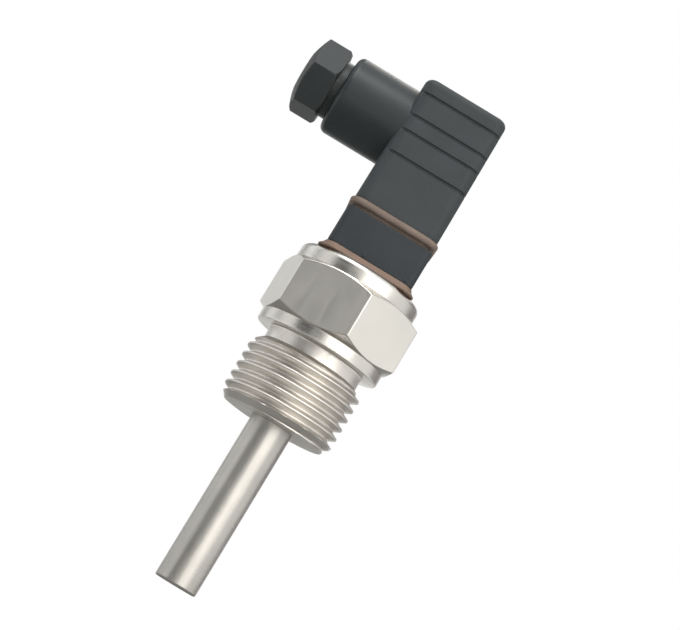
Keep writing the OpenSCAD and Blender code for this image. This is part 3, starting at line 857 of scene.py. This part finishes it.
# screws: the fixing screw and the four terminal screws
fixing = {"shaftRadius": 1.25, "headRadius": 2.3, "headHeight": 1.8, "slotWidth": 0.6, "slotDepth": 0.9,
          "pitch": 0.5, "depth": 0.32, "threadLength": 9.0}
terminal = {"shaftRadius": 1.0, "headRadius": 1.7, "headHeight": 1.6, "slotWidth": 0.5, "slotDepth": 0.7,
            "pitch": 0.45, "depth": 0.28, "threadLength": 1.1}
screwForm = {
    "rim": 0.12, "rimInset": 0.05, "rimSoft": 0.1, "crown": 0.45, "crownInset": 0.35, "crownDrop": 0.1,
    "crownSoft": 0.2, "flatShare": 0.5, "slotReach": 3, "point": 0.4, "runIn": 0.1, "runInset": 0.02,
    "shaftInset": 0.03, "lap": 0.05, "headLap": 0.01, "shortest": 0.3, "columns": 40, "headColumns": 72,
    "rows": 10,
}


def buildScrew(name, node, body, sizes):
    s, f = SimpleNamespace(**sizes), SimpleNamespace(**screwForm)
    low, high = boxOf(node)
    middle = (low + high) / 2
    top, headFoot, r, shaft = high.z, high.z - s.headHeight, s.headRadius, s.shaftRadius
    head = turned("head", [
        (axis, headFoot - f.headLap, 0), (r - f.rimInset, headFoot, 0),
        (r, headFoot + f.rim, f.rimSoft), (r, top - f.crown, f.crownSoft),
        (r - f.crownInset, top - f.crownDrop, f.crownSoft), (r * f.flatShare, top, 0), (axis, top, 0)],
        f.headColumns)
    slot = boxMesh("slot", (-f.slotReach, -s.slotWidth / 2, top - s.slotDepth),
                   (f.slotReach, s.slotWidth / 2, top + 1))
    parts = [cutAway(head, slot)]
    threadTop = low.z + s.threadLength
    parts.append(thread(finishes["zincPlate"], shaft, s.depth, s.pitch, low.z, threadTop,
                        (shaft - f.point, f.point), (shaft - f.runInset, f.runIn),
                        columns=f.columns, perTurn=f.rows))
    if headFoot - threadTop > f.shortest:
        plain, foot, end = shaft - f.shaftInset, threadTop - f.lap, headFoot + f.lap
        parts.append(turned("shaft", [(axis, foot, 0), (plain, foot, 0), (plain, end, 0), (axis, end, 0)],
                            f.columns))
    mesh = joinMeshes(name, parts)
    mesh.materials.clear()
    mesh.transform(Matrix.Translation(Vector((middle.x, middle.y, 0)) * mm))
    piece = addPiece(name, mesh, body, finishes["zincPlate"], sharpAngle=45)
    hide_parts(node)


# edges of the small parts that keep the solid's own shape, and the ring under the fixing screw
small = {"socketEdge": 0.06, "bladeEdge": 0.08, "bushEdge": 0.08, "blockEdge": 0.15,
         "ringHole": 1.31, "ringInnerEdge": 0.15, "ringOuterEdge": 0.25, "ringColumns": 72}


def buildSmallParts():
    t = SimpleNamespace(**small)
    buildScrew("fixingScrew", "fixing_screw", "fixing_screw", fixing)
    brass, tin = finishes["plainBrass"], finishes["tinPlate"]
    for way in ("1", "2", "3", "earth"):
        buildScrew(f"terminalScrew_{way}", f"terminal_screw_{way}", f"terminal_screw_{way}", terminal)
        refined(f"clampSocket_{way}", f"socket_{way}", "contact_block", brass, t.socketEdge)
        refined(f"contactBlade_{way}", f"pin_{way}", "root", tin, t.bladeEdge)
    refined("terminalBlock", "contact_block", "contact_block", finishes["blockGrey"],
            t.blockEdge)
    refined("threadedBush", "threaded_bush", "root", brass, t.bushEdge)
    low, high = boxOf("screw_seal")
    hole, inner, outer = t.ringHole, t.ringInnerEdge, t.ringOuterEdge
    ring = turned("screwRing", [(hole, low.z, inner), (high.x, low.z, outer), (high.x, high.z, outer),
                                (hole, high.z, inner)], t.ringColumns)
    piece = addPiece("screwRing", ring, "screw_seal", finishes["blackRubber"])
    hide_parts("screw_seal")


buildFitting()
buildTube()
print("fitting and tube built")
buildSeals()
buildBase()
outletLevel = buildHousing()
buildGland(outletLevel)
print("connector and plug built")
buildSmallParts()
print("screws, contacts and terminals built")


# stage, light, camera
stageLook = {
    "floorGap": 17.0,       # under the tube's tip, mm
    "floorSize": 40000.0,
    "floorColour": (0.86, 0.86, 0.85),
    "speckScale": 30.0,
    "speckShade": 0.985,
    "glowNear": 0.45,       # added for the eye only, so that the floor runs into the white behind
    "glowFar": 0.72,
    "glowFrom": 0.15,       # m from the middle
    "glowTo": 0.7,
    "ambient": 0.42,
    "ambientColour": (0.96, 0.98, 1.0),
    "cardShade": 0.9,
    "cardCloud": 8.0,
    "cardRough": 0.9,
    "lowCardAt": 0.9,       # share of the floor's gap
    "lowCardSize": (0.36, 0.56),
    "lowCardColour": (0.28, 0.28, 0.27),
}


# 1 for what the eye sees directly, in a reflection or through glass
def lightPathSeen(tree):
    path = addNode(tree, "ShaderNodeLightPath", {})
    first = addMath(tree, "MAXIMUM", path["Is Camera Ray"], path["Is Glossy Ray"])
    return addMath(tree, "MAXIMUM", first, path["Is Transmission Ray"])


def buildWorld():
    world = bpy.data.worlds.new("softWhite")
    bpy.context.scene.world = world
    world.use_nodes = True
    tree = world.node_tree
    tree.nodes.clear()
    soft = {"Color": (*stageLook["ambientColour"], 1), "Strength": stageLook["ambient"]}
    white = {"Color": (1, 1, 1, 1), "Strength": 1.0}
    mix = addNode(tree, "ShaderNodeMixShader", {
        "Fac": lightPathSeen(tree), 1: addNode(tree, "ShaderNodeBackground", soft)["Background"],
        2: addNode(tree, "ShaderNodeBackground", white)["Background"]})
    addNode(tree, "ShaderNodeOutputWorld", {"Surface": mix["Shader"]})


# a flat rectangle of the stage, in metres
def stageSheet(name, corners, material):
    mesh = bpy.data.meshes.new(name)
    mesh.from_pydata(corners, [], [(0, 1, 2, 3)])
    mesh.materials.append(material)
    return placed(name, mesh)


sheetCorners = ((-0.5, -0.5), (0.5, -0.5), (0.5, 0.5), (-0.5, 0.5))


def buildFloor():
    look = SimpleNamespace(**stageLook)
    material, tree, shader = newMaterial("paleFloor")
    tree.nodes.remove(shader)
    place = placeIn(tree)
    speck = noiseOn(tree, place, look.speckScale, detail=2.0)
    shade = [c * look.speckShade for c in look.floorColour]
    colour = rampOn(tree, speck, shade, look.floorColour, 0.2, 0.8)
    away = addNode(tree, "ShaderNodeVectorMath", {0: place}, operation="LENGTH")["Value"]
    amount = rangeOn(tree, away, look.glowNear, look.glowFar, look.glowFrom, look.glowTo)
    strength = addMath(tree, "MULTIPLY", lightPathSeen(tree), amount)
    both = addNode(tree, "ShaderNodeAddShader", {
        0: addNode(tree, "ShaderNodeBsdfDiffuse", {"Color": colour})["BSDF"],
        1: addNode(tree, "ShaderNodeEmission", {"Strength": strength})["Emission"]})
    tree.links.new(both["Shader"], tree.nodes["Material Output"].inputs["Surface"])
    size, level = look.floorSize * mm, cadLow.z - look.floorGap * mm
    floor = stageSheet("floor", [(x * size, y * size, level) for x, y in sheetCorners], material)


# a place round the object; azimuth 0 is in front, 90 to the right
def outFrom(azimuth, elevation, distance):
    a, e = math.radians(azimuth), math.radians(elevation)
    centre = (cadLow + cadHigh) / 2
    return centre + Vector((math.sin(a) * math.cos(e), -math.cos(a) * math.cos(e), math.sin(e))) * distance


def addLamp(name, azimuth, elevation, distance, width, height, watts, colour):
    data = bpy.data.lights.new(name, "AREA")
    data.shape = "RECTANGLE"
    data.size, data.size_y = width, height
    data.energy = watts
    data.color = colour
    lamp = placed(name, data)
    lamp.location = outFrom(azimuth, elevation, distance)
    centre = (cadLow + cadHigh) / 2
    lamp.rotation_euler = (centre - lamp.location).to_track_quat("-Z", "Y").to_euler()
    lamp.visible_camera = False


# a studio flag, seen only in reflections, that gives polished metal its darker side
def addCard(name, place, facing, width, height, colour):
    material, tree, shader = newMaterial(name)
    cloud = noiseOn(tree, placeIn(tree), stageLook["cardCloud"])
    shade = [c * stageLook["cardShade"] for c in colour]
    tone = rampOn(tree, cloud, shade, colour)
    setInputs(tree, shader, {"Roughness": stageLook["cardRough"], "Base Color": tone})
    turn = facing.to_track_quat("Z", "Y").to_matrix()
    sheet = [place + turn @ Vector((x * width, y * height, 0)) for x, y in sheetCorners]
    card = stageSheet(name, sheet, material)
    card.visible_camera = False
    card.visible_diffuse = False
    card.visible_shadow = False


# azimuth, elevation, distance in m, width, height, watts and colour
lamps = {
    "keyLight": (30, 20, 0.85, 0.75, 0.9, 3.5, (1.0, 0.965, 0.91)),
    "topLight": (-35, 62, 0.8, 0.45, 0.35, 3.2, (1, 1, 1)),
    "leftLight": (-115, 20, 0.9, 0.4, 0.6, 0.5, (0.95, 0.98, 1.0)),
    "backLight": (176, 44, 0.8, 0.26, 0.36, 0.9, (1.0, 0.97, 0.90)),
}
# azimuth, elevation, distance in m, width, height and colour
cards = {
    "flagLeft": (-38, 4, 0.75, 0.45, 1.0, (0.06, 0.06, 0.06)),
    "flagFront": (-10, 0, 0.8, 0.26, 0.7, (0.30, 0.31, 0.30)),
    "flagRight": (134, 8, 0.9, 0.7, 0.9, (0.42, 0.39, 0.40)),
    "flagBack": (196, 38, 0.9, 0.36, 0.7, (0.35, 0.35, 0.34)),
    "flagFarLeft": (-118, 10, 0.95, 1.1, 1.2, (0.72, 0.72, 0.72)),
}
# places in mm, angle in degrees
view = {"eye": (2.0, -380.0, -53.75), "aim": (0.16, 0.0, 7.52), "roll": 31.26, "lens": 121.91,
        "sensor": 36.0, "near": 0.01, "far": 200.0}


def addCamera():
    eye, aim = Vector(view["eye"]) * mm, Vector(view["aim"]) * mm
    ahead = (aim - eye).normalized()
    right = ahead.cross(Vector((0, 0, 1))).normalized()
    up = right.cross(ahead)
    c, s = math.cos(math.radians(view["roll"])), math.sin(math.radians(view["roll"]))
    axisX, axisY = right * c + up * s, up * c - right * s
    data = bpy.data.cameras.new("camera")
    data.sensor_width = view["sensor"]
    data.lens = view["lens"]
    data.clip_start, data.clip_end = view["near"], view["far"]
    camera = placed("camera", data)
    turn = Matrix((axisX, axisY, -ahead)).transposed().to_4x4()
    camera.matrix_world = Matrix.Translation(eye) @ turn
    bpy.context.scene.camera = camera


bpy.context.scene.view_settings.view_transform = "Standard"
buildWorld()
buildFloor()
for name, values in lamps.items():
    addLamp(name, *values)
for name, (azimuth, elevation, distance, *rest) in cards.items():
    addCard(name, outFrom(azimuth, elevation, distance), -outFrom(azimuth, elevation, 1.0), *rest)
lowCard = Vector((0, 0, cadLow.z - stageLook["lowCardAt"] * stageLook["floorGap"] * mm))
addCard("flagLow", lowCard, Vector((0, 0, 1)), *stageLook["lowCardSize"], stageLook["lowCardColour"])
addCamera()
print("stage, light and camera set")
